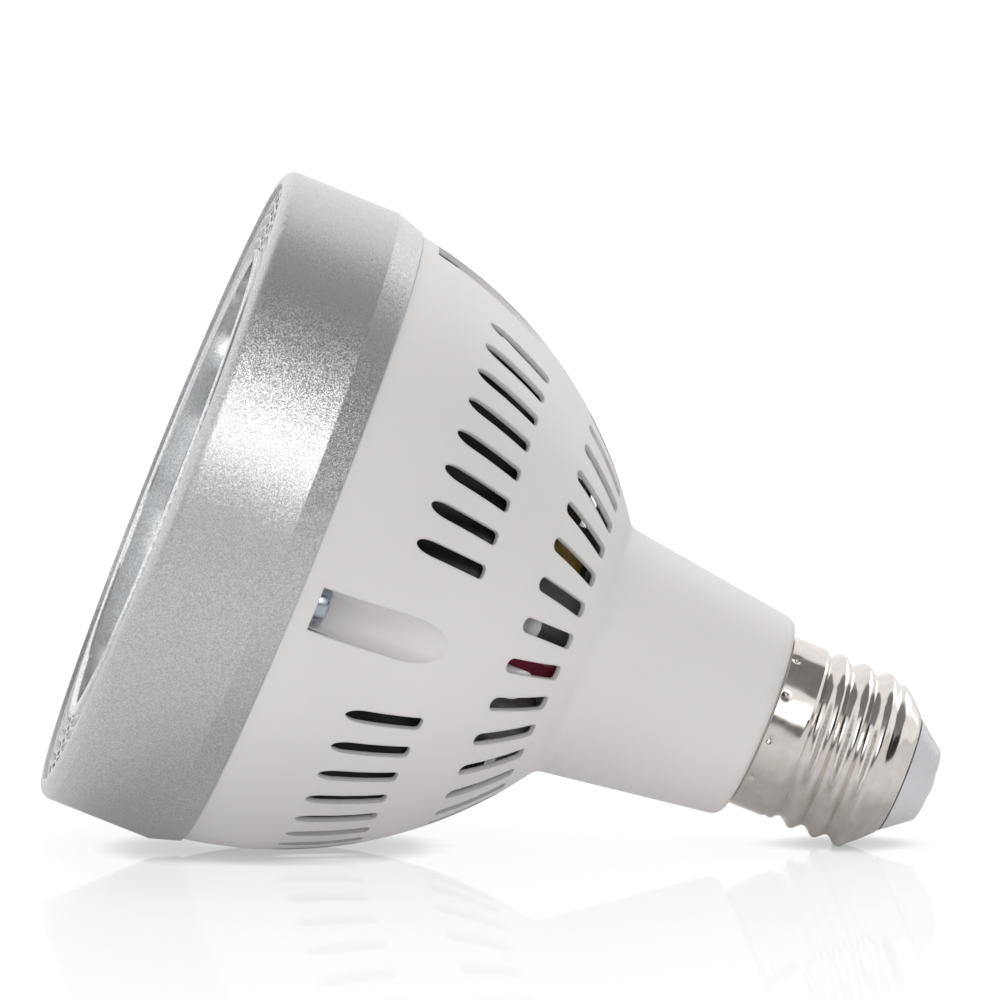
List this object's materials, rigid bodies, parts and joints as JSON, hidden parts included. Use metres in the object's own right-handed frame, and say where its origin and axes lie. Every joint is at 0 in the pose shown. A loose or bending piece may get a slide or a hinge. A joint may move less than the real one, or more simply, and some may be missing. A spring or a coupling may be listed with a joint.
{
  "type": "par spotlight bulb",
  "caption": "Fan-cooled reflector spotlight bulb: silver front ring with annular air grille, vented off-white dome and neck, screw cap, spinning cooling fan inside.",
  "frame": {"origin": "centre of the front rim's plane, which is the lowest plane when the lamp stands on its face", "axes": "+Z along the lamp's axis from the front rim to the screw cap; +X through the middle of one group of front air slots"},
  "size_m": [0.097, 0.097, 0.1201],
  "materials": {
    "silver_paint": "silver metallic paint with fine flake on cast aluminium",
    "grille_metal": "silver paint on slit sheet steel",
    "gasket_rubber": "pale silicone",
    "clear_glass": "clear toughened glass",
    "bright_aluminium": "polished and spun",
    "white_board": "white coated metal-core board",
    "phosphor": "silicone filled with yellow phosphor",
    "plain_aluminium": "bare cast aluminium",
    "zinc_steel": "bright zinc plate",
    "fan_black": "black moulded plastic",
    "bearing_bronze": "sintered bronze",
    "magnet_dark": "bonded magnet",
    "core_steel": "varnished laminations",
    "copper_wire": "enamelled copper",
    "shaft_steel": "ground steel",
    "circuit_board": "green solder mask on glass laminate",
    "ferrite": "sintered ferrite",
    "yellow_tape": "yellow polyester tape",
    "can_grey": "printed sleeve left plain",
    "film_red": "dipped dark red resin",
    "moulded_black": "black moulding compound",
    "sleeve_white": "white woven sleeve",
    "wire_red": "red insulation",
    "wire_black": "black insulation",
    "wire_white": "white insulation",
    "housing_plastic": "off-white moulded plastic, fine satin",
    "nickel_plate": "nickel plate on drawn metal",
    "insulator_grey": "pale bluish grey moulded insulator",
    "contact_metal": "tinned brass"
  },
  "bodies": {
    "lamp": {"front_ring": "silver_paint", "air_grille": "grille_metal", "glass_gasket": "gasket_rubber", "cover_glass": "clear_glass", "reflector": "bright_aluminium", "led_board": "white_board", "led_emitter": "phosphor", "led_screws": "zinc_steel", "heat_sink": "plain_aluminium", "heat_sink_screws": "zinc_steel", "fan_frame": "fan_black", "fan_bearing": "bearing_bronze", "fan_stator": "core_steel", "fan_coils": "copper_wire", "fan_screws": "zinc_steel", "driver_board": "circuit_board", "board_screws": "zinc_steel", "transformer_core": "ferrite", "transformer_winding": "yellow_tape", "bulk_capacitor": "can_grey", "output_capacitor": "can_grey", "film_capacitor": "film_red", "drum_inductor": "ferrite", "input_choke": "ferrite", "bridge_rectifier": "moulded_black", "fuse_resistor": "sleeve_white", "led_lead_plus": "wire_red", "led_lead_minus": "wire_black", "fan_leads": "wire_black", "live_lead": "wire_red", "neutral_lead": "wire_white", "housing": "housing_plastic", "housing_screws": "zinc_steel", "cap_shell": "nickel_plate", "cap_insulator": "insulator_grey", "centre_contact": "contact_metal"},
    "fan": {"fan_rotor": "fan_black", "rotor_magnet": "magnet_dark", "rotor_shaft": "shaft_steel"}
  },
  "joints": [
    {"name": "fan_spin", "type": "hinge", "parent": "lamp", "child": "fan", "pos_m": [0, 0, 0.0379], "axis": [0, 0, 1], "continuous": true}
  ]
}
